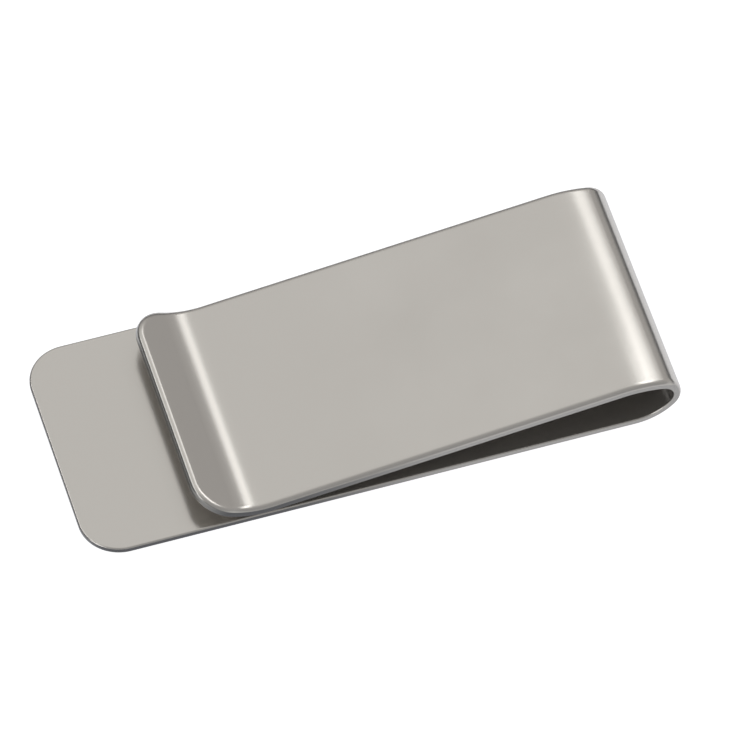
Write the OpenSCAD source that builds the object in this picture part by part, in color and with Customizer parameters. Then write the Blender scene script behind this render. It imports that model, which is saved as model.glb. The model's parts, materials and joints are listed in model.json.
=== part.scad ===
// Money clip: one strip of spring steel folded over on itself.
// Every module below is one formed zone of the strip. The zones meet face to face, in this order:
// back plate, heel curve, spring bend, shoulder curve, front leaf, grip ridge, thumb lip.
// +X runs along the clip to the nose of the fold, +Y across the strip, +Z up from the face it lies on.

/* [Strip] */
// Width of the steel strip
strip_width = 25.4; // [20:0.1:32]
// Thickness of the steel strip
strip_thickness = 0.9; // [0.5:0.05:1.2]

/* [Back plate] */
// Length of the clip, from the free end of the back plate to the nose of the fold
overall_length = 61; // [52:0.5:76]
// Radius of the two corners at the free end of the back plate
plate_corner_radius = 4.2; // [1:0.1:8]

/* [Fold] */
// Inside radius of the heel curve, which lifts off the back plate
heel_radius = 4.6; // [3:0.1:6.5]
// Angle that the heel curve turns
heel_angle = 50; // [40:1:60]
// Inside radius of the spring bend at the nose, which does most of the flexing
nose_radius = 1.6; // [1:0.1:3]
// Angle that the spring bend turns
nose_angle = 116; // [96:1:122]
// Inside radius of the shoulder curve, which leads onto the front leaf
shoulder_radius = 11.1; // [6:0.1:14]

/* [Grip] */
// Distance from the nose of the fold to the line where the ridge presses on the back plate
ridge_reach = 43; // [36:0.5:53]
// Radius of the hollow upper side of the grip ridge
grip_radius = 7.6; // [3:0.1:12]
// Gap left under the ridge when the clip is closed
ridge_clearance = 0.1; // [0.05:0.05:0.5]
// Angle at which the thumb lip flares up
flare_angle = 25; // [12:1:34]
// Length of the thumb lip past the grip ridge
lip_length = 3.6; // [3.6:0.1:8]
// Radius of the two corners of the thumb lip
lip_corner_radius = 3.6; // [1:0.1:3.6]

/* [Hidden] */
$fn = 96;
half_thickness = strip_thickness / 2;

// Radii of the strip's middle layer in each curve
heel_mid = heel_radius + half_thickness;
nose_mid = nose_radius + half_thickness;
shoulder_mid = shoulder_radius + half_thickness;
grip_mid = grip_radius + half_thickness;

// Curve centres as [x, z], measured from where the heel curve starts.
// Each centre lies on the line that the two neighbouring curves share where they meet.
nose_start = heel_angle;
shoulder_start = heel_angle + nose_angle;
heel_centre = [0, half_thickness + heel_mid];
nose_centre = heel_centre + (heel_mid - nose_mid) * [sin(nose_start), -cos(nose_start)];
shoulder_centre = nose_centre + (nose_mid - shoulder_mid) * [sin(shoulder_start), -cos(shoulder_start)];
fold_depth = nose_centre[0] + nose_radius + strip_thickness;
ridge_centre = [fold_depth - ridge_reach, strip_thickness + ridge_clearance + half_thickness + grip_mid];

// The front leaf is the straight line that touches the shoulder curve from above and the ridge from below
centre_line = ridge_centre - shoulder_centre;
centre_distance = norm(centre_line);
curve_sum = shoulder_mid + grip_mid;
leaf_slope = atan2(centre_line[1], centre_line[0]) - 90 - acos(curve_sum / centre_distance);
leaf_length = sqrt(centre_distance * centre_distance - curve_sum * curve_sum);
leaf_start = shoulder_centre + shoulder_mid * [-sin(leaf_slope), cos(leaf_slope)];
lip_start = ridge_centre + grip_mid * [-sin(flare_angle), -cos(flare_angle)];

plate_length = overall_length - fold_depth;
fold_x = overall_length / 2 - fold_depth; // where the heel curve starts, with the whole clip centred on X

steel = [0.72, 0.70, 0.67];

// Flat strip from the origin towards -X, with its free end's corners rounded. A radius of 0 leaves them square.
module strip_outline(length, corner) {
    half_width = strip_width / 2;
    intersection() {
        translate([-length, -half_width]) square([length, strip_width]);
        union() {
            translate([corner - length, -half_width]) square([length, strip_width]);
            translate([-length, corner - half_width]) square([length, strip_width - 2 * corner]);
            if (corner > 0)
                for (side = [-1, 1]) translate([corner - length, side * (half_width - corner)]) circle(r = corner);
        }
    }
}

// Flat stretch of strip whose middle layer starts at place = [x, z] and climbs by slope degrees towards -X
module flat_strip(place, slope, length, corner = 0) {
    translate([fold_x + place[0], 0, place[1]])
        rotate([0, slope, 0])
            translate([0, 0, -half_thickness])
                linear_extrude(strip_thickness) strip_outline(length, corner);
}

// Curved stretch of strip: the section is swept about centre = [x, z], from angle start through angle sweep
module curved_strip(centre, inside_radius, start, sweep) {
    translate([fold_x + centre[0], 0, centre[1]])
        rotate([90, 0, 0])
            rotate([0, 0, start])
                rotate_extrude(angle = sweep)
                    translate([inside_radius, -strip_width / 2]) square([strip_thickness, strip_width]);
}

module back_plate() {
    color(steel) flat_strip([0, half_thickness], 0, plate_length, plate_corner_radius);
}

module heel_curve() {
    color(steel) curved_strip(heel_centre, heel_radius, -90, heel_angle);
}

module spring_bend() {
    color(steel) curved_strip(nose_centre, nose_radius, nose_start - 90, nose_angle);
}

module shoulder_curve() {
    shoulder_angle = 180 + leaf_slope - shoulder_start;
    color(steel) curved_strip(shoulder_centre, shoulder_radius, shoulder_start - 90, shoulder_angle);
}

module front_leaf() {
    color(steel) flat_strip(leaf_start, -leaf_slope, leaf_length);
}

module grip_ridge() {
    color(steel) curved_strip(ridge_centre, grip_radius, -90 - flare_angle, flare_angle + leaf_slope);
}

module thumb_lip() {
    color(steel) flat_strip(lip_start, flare_angle, lip_length, lip_corner_radius);
}

back_plate();
heel_curve();
spring_bend();
shoulder_curve();
front_leaf();
grip_ridge();
thumb_lip();
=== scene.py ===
import json
import math

import bmesh
import bpy
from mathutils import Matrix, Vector

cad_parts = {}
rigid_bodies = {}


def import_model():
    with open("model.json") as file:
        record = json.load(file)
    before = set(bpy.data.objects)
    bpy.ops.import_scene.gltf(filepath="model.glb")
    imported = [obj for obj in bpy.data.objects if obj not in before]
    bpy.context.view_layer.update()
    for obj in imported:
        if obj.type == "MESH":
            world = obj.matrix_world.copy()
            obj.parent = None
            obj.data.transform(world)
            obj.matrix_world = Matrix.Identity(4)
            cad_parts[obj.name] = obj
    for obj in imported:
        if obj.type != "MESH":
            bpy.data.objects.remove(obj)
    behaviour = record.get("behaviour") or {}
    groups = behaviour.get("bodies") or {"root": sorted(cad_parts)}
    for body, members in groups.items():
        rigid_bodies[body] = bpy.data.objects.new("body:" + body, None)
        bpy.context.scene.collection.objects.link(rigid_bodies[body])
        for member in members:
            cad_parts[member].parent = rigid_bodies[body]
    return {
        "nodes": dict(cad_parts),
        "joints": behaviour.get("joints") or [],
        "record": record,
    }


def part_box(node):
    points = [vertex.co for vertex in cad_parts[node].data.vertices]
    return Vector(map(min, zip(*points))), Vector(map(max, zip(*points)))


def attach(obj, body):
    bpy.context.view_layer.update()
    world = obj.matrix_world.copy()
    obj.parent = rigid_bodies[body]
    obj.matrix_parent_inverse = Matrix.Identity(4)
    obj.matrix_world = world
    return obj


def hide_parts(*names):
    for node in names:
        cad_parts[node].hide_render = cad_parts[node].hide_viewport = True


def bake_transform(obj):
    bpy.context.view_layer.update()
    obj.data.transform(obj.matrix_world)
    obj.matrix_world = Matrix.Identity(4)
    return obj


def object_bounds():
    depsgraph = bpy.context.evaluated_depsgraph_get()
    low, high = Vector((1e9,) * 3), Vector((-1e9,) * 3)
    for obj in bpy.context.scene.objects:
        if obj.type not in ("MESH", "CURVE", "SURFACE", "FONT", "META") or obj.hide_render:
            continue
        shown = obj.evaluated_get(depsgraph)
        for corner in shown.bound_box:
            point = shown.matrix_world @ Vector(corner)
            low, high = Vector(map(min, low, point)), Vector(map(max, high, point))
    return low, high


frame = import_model()
cadLow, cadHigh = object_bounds()
print("frame loaded:", ", ".join(sorted(frame["nodes"])))

# the strip, the axis that its fold springs about and the line where it grips, from the frame, in metres
plateLow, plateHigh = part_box("back_plate")
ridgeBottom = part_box("grip_ridge")[0].z
stripWidth = plateHigh.y - plateLow.y
stripThickness = plateHigh.z - plateLow.z
hingePoint = Vector(frame["joints"][0]["pos_m"])
gripPoint = [mount["pos_m"] for mount in frame["record"]["mounts"] if mount["name"] == "note_grip"][0]

# what every zone of the strip shares
strip = {
    "rollWidth": 0.00072,       # outside face: how far in from the edge the rolling starts
    "rollHeight": 0.00042,      # and how deep it goes
    "insideShare": 0.35,        # the face inside the fold was the burred one, so it is rolled less
    "rollSteps": 10,            # faces round each rolled corner
    "roundProfile": 0.5,        # the bevel operator's own figure for a round one
    "sectionEvery": 0.5,        # degrees of bend from one cross-section to the next
    "fewestSections": 8,        # in a bend, however slight
    "sharpFrom": 40.0,          # degrees, so that only the seams between zones stay sharp
    "spare": 0.002,             # a flat end is modelled this much too long, then cut at its seam
    "mergeWithin": 1e-8,        # points closer than this are one point
    "edgeFrom": 0.80,           # sine of the tilt from the broad face at which the cut edge starts
}
# each face of the strip and its share of the roll; 1 is the face inside the fold, -1 the outside one
rolledFaces = ((1, strip["insideShare"]), (-1, 1))


def deselectAll():
    bpy.ops.object.select_all(action="DESELECT")


def addSheet(name, middle, size, tilt):
    # a flat rectangle, size[0] along the tilted X and size[1] along Y, left open in edit mode
    deselectAll()
    bpy.ops.mesh.primitive_plane_add(size=1, location=middle, rotation=(0, -tilt, 0))
    piece = bpy.context.object
    piece.name = name
    piece.data.name = name
    piece.scale = (size[0], size[1], 1)
    bpy.ops.object.transform_apply(location=True, rotation=True, scale=True)
    bpy.ops.object.mode_set(mode="EDIT")
    bpy.ops.mesh.select_mode(type="VERT")
    return piece


def select(piece, wanted):
    # in edit mode, selects the vertices whose place passes the test, and the faces between them
    mesh = bmesh.from_edit_mesh(piece.data)
    bpy.ops.mesh.select_all(action="DESELECT")
    for vertex in mesh.verts:
        vertex.select_set(wanted(vertex.co))
    mesh.select_flush_mode()
    bmesh.update_edit_mesh(piece.data)


def direction(heading):
    # the way the strip runs; a heading is turned up from +X, in radians
    return Vector((math.cos(heading), 0, math.sin(heading)))


def above(heading):
    # square to the strip, on the side it turns towards when it bends up and over
    return Vector((-math.sin(heading), 0, math.cos(heading)))


def closeMesh():
    # merges double points, turns the faces outwards and leaves edit mode
    bpy.ops.mesh.select_all(action="SELECT")
    bpy.ops.mesh.remove_doubles(threshold=strip["mergeWithin"])
    bpy.ops.mesh.normals_make_consistent(inside=False)
    bpy.ops.object.mode_set(mode="OBJECT")


def flatEnd(name, root, heading, length, inward, corner):
    # a flat end of the strip, from its seam at root to its free end with two round corners;
    # inward points from its outside face to the one inside the fold
    along = direction(heading)
    blank = length + strip["spare"]
    piece = addSheet(name, root + along * (length - blank / 2), (blank, stripWidth), heading)
    select(piece, lambda place: (place - root).dot(along) > length / 2)
    bpy.ops.mesh.bevel(
        affect="VERTICES", offset=corner["cornerRadius"], segments=corner["cornerSteps"],
        profile=strip["roundProfile"])
    bpy.ops.mesh.select_all(action="SELECT")
    outside = strip["rollHeight"] - stripThickness / 2
    inside = stripThickness / 2 - strip["rollHeight"] * strip["insideShare"]
    bpy.ops.transform.translate(value=inward * outside)
    bpy.ops.mesh.extrude_region_move(TRANSFORM_OT_translate={"value": inward * (inside - outside)})

    # each broad face is drawn in and raised step by step, a quarter of an ellipse in all
    bpy.ops.mesh.select_all(action="SELECT")
    bpy.ops.mesh.normals_make_consistent(inside=False)
    middle = (inside + outside) / 2
    for face, share in rolledFaces:
        select(piece, lambda place: ((place - root).dot(inward) - middle) * face > 0)
        for step in range(strip["rollSteps"]):
            before = math.pi / 2 * step / strip["rollSteps"]
            after = math.pi / 2 * (step + 1) / strip["rollSteps"]
            bpy.ops.mesh.inset(
                thickness=strip["rollWidth"] * share * (math.cos(before) - math.cos(after)),
                depth=strip["rollHeight"] * share * (math.sin(after) - math.sin(before)))
    bpy.ops.mesh.select_all(action="SELECT")
    bpy.ops.mesh.bisect(plane_co=root, plane_no=along, use_fill=True, clear_inner=True)
    closeMesh()
    return piece


def addSection(name, at, heading):
    # the strip's own cross-section, standing across its run: its corners are rounded while it is
    # narrow, then it is widened, which makes each quarter round the same ellipse as on the plates
    widen = strip["rollWidth"] / strip["rollHeight"]
    piece = addSheet(name, at, (stripThickness, stripWidth / widen), heading + math.pi / 2)
    for face, share in rolledFaces:
        select(piece, lambda place: (place - at).dot(above(heading)) * face > 0)
        bpy.ops.mesh.bevel(
            affect="VERTICES", offset=strip["rollHeight"] * share, segments=strip["rollSteps"],
            profile=strip["roundProfile"])
    bpy.ops.mesh.select_all(action="SELECT")
    bpy.ops.transform.resize(value=(1, widen, 1), center_override=at)
    return piece


def bentZone(name, at, heading, radius, turn):
    # the section spun round the bend's centre; a positive turn bends the strip up and over
    side = math.copysign(1, turn)
    centre = at + above(heading) * radius * side
    steps = max(strip["fewestSections"], round(abs(math.degrees(turn)) / strip["sectionEvery"]))
    piece = addSection(name, at, heading)
    bpy.ops.mesh.spin(steps=steps, angle=turn, center=centre, axis=(0, 1, 0))
    closeMesh()
    return piece, centre - above(heading + turn) * radius * side, heading + turn


def straightZone(name, at, heading, length):
    piece = addSection(name, at, heading)
    bpy.ops.mesh.extrude_region_move(TRANSFORM_OT_translate={"value": direction(heading) * length})
    closeMesh()
    return piece, at + direction(heading) * length


def shadeZone(piece, inward):
    # the steep part of the rim is the cut edge, which takes the second material with its painted shade
    # towards the free ends;
    # shading is smooth across the rolls and bends, and weighted by area so that the broad faces look flat
    deselectAll()
    for face in piece.data.polygons:
        tilt = face.normal.cross(inward).length if inward else abs(face.normal.y)
        face.material_index = 1 if tilt > strip["edgeFrom"] else 0
    piece.select_set(True)
    bpy.context.view_layer.objects.active = piece
    bpy.ops.object.shade_smooth_by_angle(angle=math.radians(strip["sharpFrom"]))
    weighted = piece.modifiers.new("weighted normals", "WEIGHTED_NORMAL")
    weighted.keep_sharp = True
    bpy.ops.object.modifier_apply(modifier=weighted.name)


def standFor(piece, node, body, inward=None):
    # inward is given for a flat end, where the rim also runs across the strip; body is None for
    # the zone that bends from one body to the other
    shadeZone(piece, inward)
    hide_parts(node)
    if body:
        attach(piece, body)
    low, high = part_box(node)
    places = [vertex.co for vertex in piece.data.vertices]
    off = max(
        abs(pick(place[i] for place in places) - corner[i])
        for pick, corner in ((min, low), (max, high)) for i in range(3))
    print(f"{piece.name}: {len(places)} points, box within {off * 1000:.3f} mm of {node}")


# back plate, which the clip lies on
backPlate = {"cornerRadius": 0.0042, "cornerSteps": 24}
seam = Vector((plateHigh.x, 0, stripThickness / 2))
piece = flatEnd(
    "steel_back_plate", seam, math.pi, plateHigh.x - plateLow.x, above(0.0), backPlate)
standFor(piece, "back_plate", "back", above(0.0))

# heel, the slow curve that lifts off the back plate
heel = {"outerRadius": 0.0055, "turn": math.radians(50)}
piece, seam, heading = bentZone(
    "steel_heel", seam, 0.0, heel["outerRadius"] - stripThickness / 2, heel["turn"])
standFor(piece, "heel_curve", "back")

# nose of the fold, the tight curve that gives when the leaf is lifted
nose = {"outerRadius": cadHigh.x - hingePoint.x, "turn": math.radians(116)}
piece, seam, heading = bentZone(
    "steel_fold", seam, heading, nose["outerRadius"] - stripThickness / 2, nose["turn"])
standFor(piece, "spring_bend", None)
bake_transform(piece)

# shoulder, the slow curve that runs out into the leaf; the leaf is the straight line that touches
# both the shoulder's curve and the ridge's, so its length and slope come from those two
shoulder = {"outerRadius": 0.0120}
ridge = {"hollowRadius": 0.0076, "flare": math.radians(25)}
shoulderRadius = shoulder["outerRadius"] - stripThickness / 2
ridgeRadius = ridge["hollowRadius"] + stripThickness / 2
shoulderCentre = seam + above(heading) * shoulderRadius
ridgeCentre = Vector((gripPoint[0], 0, ridgeBottom + stripThickness / 2 + ridgeRadius))
between = ridgeCentre - shoulderCentre
bothRadii = shoulderRadius + ridgeRadius
leafLength = math.sqrt(between.length_squared - bothRadii ** 2)
leafHeading = math.atan2(between.z, between.x) + math.atan2(bothRadii, leafLength)
piece, seam, heading = bentZone("steel_shoulder", seam, heading, shoulderRadius, leafHeading - heading)
standFor(piece, "shoulder_curve", "front")

# front leaf, straight between the two curves
piece, seam = straightZone("steel_front_leaf", seam, heading, leafLength)
standFor(piece, "front_leaf", "front")

# grip ridge, whose underside holds the notes
piece, seam, heading = bentZone(
    "steel_grip_ridge", seam, heading, ridgeRadius, math.pi - ridge["flare"] - heading)
standFor(piece, "grip_ridge", "front")

# thumb lip, which leads the notes in
lip = {"length": 0.0036, "cornerRadius": 0.0036, "cornerSteps": 24}
piece = flatEnd("steel_thumb_lip", seam, heading, lip["length"], above(heading), lip)
standFor(piece, "thumb_lip", "front", above(heading))
print("strip modelled")


def addNode(tree, kind, inputs):
    node = tree.nodes.new(kind)
    for name, value in inputs.items():
        node.inputs[name].default_value = value
    return node


def addRange(tree, value, ends, results=(0, 1)):
    # eases from results[0] to results[1] as the value goes from ends[0] to ends[1]
    ease = addNode(tree, "ShaderNodeMapRange", {
        "From Min": ends[0], "From Max": ends[1], "To Min": results[0], "To Max": results[1]})
    ease.interpolation_type = "SMOOTHSTEP"
    tree.links.new(value, ease.inputs["Value"])
    return ease.outputs["Result"]


def addMath(tree, operation, *values):
    node = tree.nodes.new("ShaderNodeMath")
    node.operation = operation
    for value, socket in zip(values, node.inputs):
        tree.links.new(value, socket)
    return node.outputs["Value"]


def addMix(tree, factor, first, second):
    # first and second are each a colour or another node's output; 6, 7 and 2 are the colour sockets
    mix = tree.nodes.new("ShaderNodeMix")
    mix.data_type = "RGBA"
    tree.links.new(factor, mix.inputs[0])
    for socket, tone in ((mix.inputs[6], first), (mix.inputs[7], second)):
        if isinstance(tone, tuple):
            socket.default_value = (*tone, 1)
        else:
            tree.links.new(tone, socket)
    return mix.outputs[2]


def addNoise(tree, place, scale, detail, fineness):
    noise = addNode(tree, "ShaderNodeTexNoise", {"Scale": scale, "Detail": detail, "Roughness": fineness})
    tree.links.new(place, noise.inputs["Vector"])
    return noise.outputs["Fac"]


def satinSteel(name, finish):
    material = bpy.data.materials.new(name)
    material.use_nodes = True
    tree = material.node_tree
    tree.nodes.clear()
    output = tree.nodes.new("ShaderNodeOutputMaterial")
    shader = addNode(tree, "ShaderNodeBsdfPrincipled", {"Metallic": finish["metallic"]})
    tree.links.new(shader.outputs["BSDF"], output.inputs["Surface"])
    place = tree.nodes.new("ShaderNodeTexCoord").outputs["Object"]

    # slow clouds in the tone and the polish, as hand buffing leaves them
    clouds = addNoise(
        tree, place, finish["cloudScale"], finish["cloudDetail"], finish["cloudFineness"])
    tone = addMix(tree, clouds, finish["darkTone"], finish["lightTone"])
    low = finish["roughness"] - finish["roughnessSpread"]
    high = finish["roughness"] + finish["roughnessSpread"]
    tree.links.new(addRange(tree, clouds, (0, 1), (low, high)), shader.inputs["Roughness"])

    # towards the free ends the steel takes the end's tone, an even tone on the faces and painted shade on
    # the cut edges
    axes = tree.nodes.new("ShaderNodeSeparateXYZ")
    tree.links.new(place, axes.inputs["Vector"])
    pastEndToneAndShade = addRange(tree, axes.outputs["X"], finish["endToneAndShadeAlong"])
    tree.links.new(addMix(tree, pastEndToneAndShade, finish["endToneAndShade"], tone), shader.inputs["Base Color"])

    # the satin grain: hair lines along the strip, very shallow
    stretch = addNode(tree, "ShaderNodeMapping", {"Scale": (finish["grainStretch"], 1, 1)})
    tree.links.new(place, stretch.inputs["Vector"])
    grain = addNoise(
        tree, stretch.outputs["Vector"], finish["grainScale"], finish["grainDetail"],
        finish["grainFineness"])
    bump = addNode(tree, "ShaderNodeBump", {
        "Strength": finish["grainStrength"], "Distance": finish["grainDepth"]})
    tree.links.new(grain, bump.inputs["Height"])
    tree.links.new(bump.outputs["Normal"], shader.inputs["Normal"])
    return material


steelFace = {
    "metallic": 0.90,           # the rest scatters, as a satin face does
    "darkTone": (0.64, 0.615, 0.58),
    "lightTone": (0.74, 0.715, 0.68),
    "cloudScale": 90.0,         # clouds about 11 mm across
    "cloudDetail": 3.0,         # how many times a cloud breaks into smaller ones
    "cloudFineness": 0.5,       # and how much those count
    "roughness": 0.20,
    "roughnessSpread": 0.015,
    "grainScale": 9000.0,       # lines about 0.1 mm apart
    "grainStretch": 0.06,       # and about 2 mm long
    "grainDetail": 4.0,
    "grainFineness": 0.6,
    "grainStrength": 0.25,
    "grainDepth": 0.00001,
    "endToneAndShade": (0.69, 0.665, 0.63),
    "endToneAndShadeAlong": (-0.012, 0.009),    # X where the end's tone, painted shade on the edges, stops being whole, and where it is gone
}
# the cut edge is painted dark towards the free ends, as shade, and at the end of the lip that painted
# shade is lighter
steelEdge = dict(
    steelFace, darkTone=(0.67, 0.65, 0.62), lightTone=(0.73, 0.71, 0.68), roughness=0.22,
    grainStrength=0.1, endToneAndShade=(0.20, 0.20, 0.205))
lipEdge = dict(
    steelEdge, darkTone=steelEdge["endToneAndShade"], lightTone=steelEdge["endToneAndShade"],
    endToneAndShade=(0.45, 0.44, 0.42), endToneAndShadeAlong=(-0.0186, -0.0162))

faceMaterial = satinSteel("satin steel", steelFace)
# the cut edges carry painted shade towards the free ends
edgeMaterial = satinSteel("steel edge with painted shade", steelEdge)
# the lip's cut edge is painted shade all along, lighter at the lip's end
lipEdgeMaterial = satinSteel("lip edge with painted shade", lipEdge)
for piece in bpy.context.scene.objects:
    if piece.name.startswith("steel_"):
        secondMaterial = lipEdgeMaterial if piece.name == "steel_thumb_lip" else edgeMaterial
        piece.data.materials.append(faceMaterial)
        piece.data.materials.append(secondMaterial)
# the plain zones of the frame are hidden, and are of the same steel if they are ever shown
for node in frame["nodes"].values():
    node.data.materials.clear()
    node.data.materials.append(faceMaterial)
print("steel finished")

# table, a pale lit sheet that the steel doesn't mirror, so the studio below says what it shows
table = {
    "size": 6.0,
    "drop": 0.00002,            # below the plate, so that the two don't share a plane
    "tone": (0.90, 0.90, 0.92),
    "roughness": 0.9,
    "gloss": 0.0,
    "glow": 0.75,               # light of its own, which keeps it pale
    "glowTone": (0.98, 0.99, 1.0),
}
deselectAll()
bpy.ops.mesh.primitive_plane_add(size=table["size"], location=(0, 0, -table["drop"]))
floor = bpy.context.object
floor.name = "table"
floor.visible_glossy = False
floorMaterial = bpy.data.materials.new("pale table")
floorMaterial.use_nodes = True
floorShader = floorMaterial.node_tree.nodes["Principled BSDF"]
floorShader.inputs["Base Color"].default_value = (*table["tone"], 1)
floorShader.inputs["Roughness"].default_value = table["roughness"]
floorShader.inputs["Specular IOR Level"].default_value = table["gloss"]
floorShader.inputs["Emission Color"].default_value = (*table["glowTone"], 1)
floorShader.inputs["Emission Strength"].default_value = table["glow"]
floor.data.materials.append(floorMaterial)

# studio round the clip: a pale table below, darker walls, and a long soft panel overhead that
# leans to the far side; it is told by direction alone, and each pair is where along one axis, from
# -1 to 1, a change starts and where it is complete
studio = {
    "tableFar": (0.81, 0.82, 0.85),
    "tableNear": (0.42, 0.425, 0.44),
    "tableDepth": (-0.5, 0.4),
    "wallNearLow": (0.62, 0.62, 0.62),
    "wallNearHigh": (0.33, 0.33, 0.33),
    "wallNearRise": (0.30, 0.65),
    "wallFarLow": (0.05, 0.05, 0.055),
    "wallFarLeft": (0.14, 0.14, 0.14),
    "wallFarRight": (0.43, 0.42, 0.41),
    "wallFarRise": (0.10, 0.38),
    "wallFarTurn": (-0.45, -0.05),
    "panel": (0.715, 0.71, 0.695),
    "panelAcross": (0, 0.830, -0.558),      # square to the panel's long middle line
    "panelSides": (0.60, 0.12),
    "panelLeft": (-0.45, -0.12),
    "panelRight": (0.58, 0.40),
    "horizon": (-0.02, 0.02),
}

world = bpy.data.worlds.new("studio")
bpy.context.scene.world = world
world.use_nodes = True
tree = world.node_tree
tree.nodes.clear()
output = tree.nodes.new("ShaderNodeOutputWorld")
background = tree.nodes.new("ShaderNodeBackground")
tree.links.new(background.outputs["Background"], output.inputs["Surface"])
skyward = tree.nodes.new("ShaderNodeTexCoord").outputs["Generated"]
axes = tree.nodes.new("ShaderNodeSeparateXYZ")
tree.links.new(skyward, axes.inputs["Vector"])
across = tree.nodes.new("ShaderNodeVectorMath")
across.operation = "DOT_PRODUCT"
across.inputs[1].default_value = studio["panelAcross"]
tree.links.new(skyward, across.inputs[0])
sides = addRange(tree, addMath(tree, "ABSOLUTE", across.outputs["Value"]), studio["panelSides"])
leftEnd = addRange(tree, axes.outputs["X"], studio["panelLeft"])
rightEnd = addRange(tree, axes.outputs["X"], studio["panelRight"])
panelShare = addMath(tree, "MULTIPLY", sides, addMath(tree, "MULTIPLY", leftEnd, rightEnd))
farness = addRange(tree, axes.outputs["Y"], studio["tableDepth"])
wallFarTurn = addRange(tree, axes.outputs["X"], studio["wallFarTurn"])
wallFarRise = addRange(tree, axes.outputs["Z"], studio["wallFarRise"])
wallNearRise = addRange(tree, axes.outputs["Z"], studio["wallNearRise"])
aboveTable = addRange(tree, axes.outputs["Z"], studio["horizon"])
tableTone = addMix(tree, farness, studio["tableNear"], studio["tableFar"])
wallFarHigh = addMix(tree, wallFarTurn, studio["wallFarLeft"], studio["wallFarRight"])
wallFar = addMix(tree, wallFarRise, studio["wallFarLow"], wallFarHigh)
wallNear = addMix(tree, wallNearRise, studio["wallNearLow"], studio["wallNearHigh"])
wallTone = addMix(tree, farness, wallNear, wallFar)
roomTone = addMix(tree, panelShare, wallTone, studio["panel"])
allTone = addMix(tree, aboveTable, tableTone, roomTone)
tree.links.new(allTone, background.inputs["Color"])

# side turns a box from straight overhead towards the nose, lean then takes it to the far side; its
# size is first along the clip, then across it
softBoxes = {
    "long box": {"side": 32.5, "lean": 33.0, "distance": 1.4, "size": (0.25, 0.62), "radiance": 0.82},
    "near box": {"side": 31.0, "lean": 14.0, "distance": 0.15, "size": (0.030, 0.055), "radiance": 1.6},
    "left box": {"side": -24.0, "lean": 20.0, "distance": 1.4, "size": (0.20, 0.90), "radiance": 1.7},
    "corner box": {"side": -42.0, "lean": -10.0, "distance": 1.4, "size": (0.70, 0.60), "radiance": 1.3},
}


def addSoftBox(name, box):
    # it faces the clip, and its power grows with its area, so that its radiance stays as given
    bpy.ops.object.light_add(
        type="AREA", rotation=(-math.radians(box["lean"]), math.radians(box["side"]), 0))
    lamp = bpy.context.object
    lamp.name = name
    lamp.location = lamp.rotation_euler.to_matrix() @ Vector((0, 0, box["distance"]))
    lamp.data.shape = "RECTANGLE"
    lamp.data.size, lamp.data.size_y = box["size"]
    lamp.data.energy = box["radiance"] * math.pi * box["size"][0] * box["size"][1]
    lamp.visible_camera = False


for name, box in softBoxes.items():
    addSoftBox(name, box)
print("lights set")

# camera with a long lens, well back, looking down from the near left
view = {
    "azimuth": -17.0,           # degrees round the clip from square in front of it
    "elevation": 54.9,          # degrees above the table
    "distance": 0.9447,
    "lens": 455.86,
    "aside": 0.00253,           # how far right of the clip's origin it aims
    "up": 0.00119,              # and how far above, as it sees it
    "nearest": 0.05,
    "furthest": 20.0,
}
turn = math.radians(view["azimuth"])
rise = math.radians(view["elevation"])
back = Vector((math.sin(turn) * math.cos(rise), -math.cos(turn) * math.cos(rise), math.sin(rise)))
right = Vector((math.cos(turn), math.sin(turn), 0))
up = back.cross(right)
aim = right * view["aside"] + up * view["up"]
bpy.ops.object.camera_add(location=aim + back * view["distance"])
camera = bpy.context.object
camera.rotation_euler = back.to_track_quat("Z", "Y").to_euler()
camera.data.lens = view["lens"]
camera.data.clip_start = view["nearest"]
camera.data.clip_end = view["furthest"]
bpy.context.scene.camera = camera
bpy.context.scene.view_settings.view_transform = "Standard"
print("camera set")
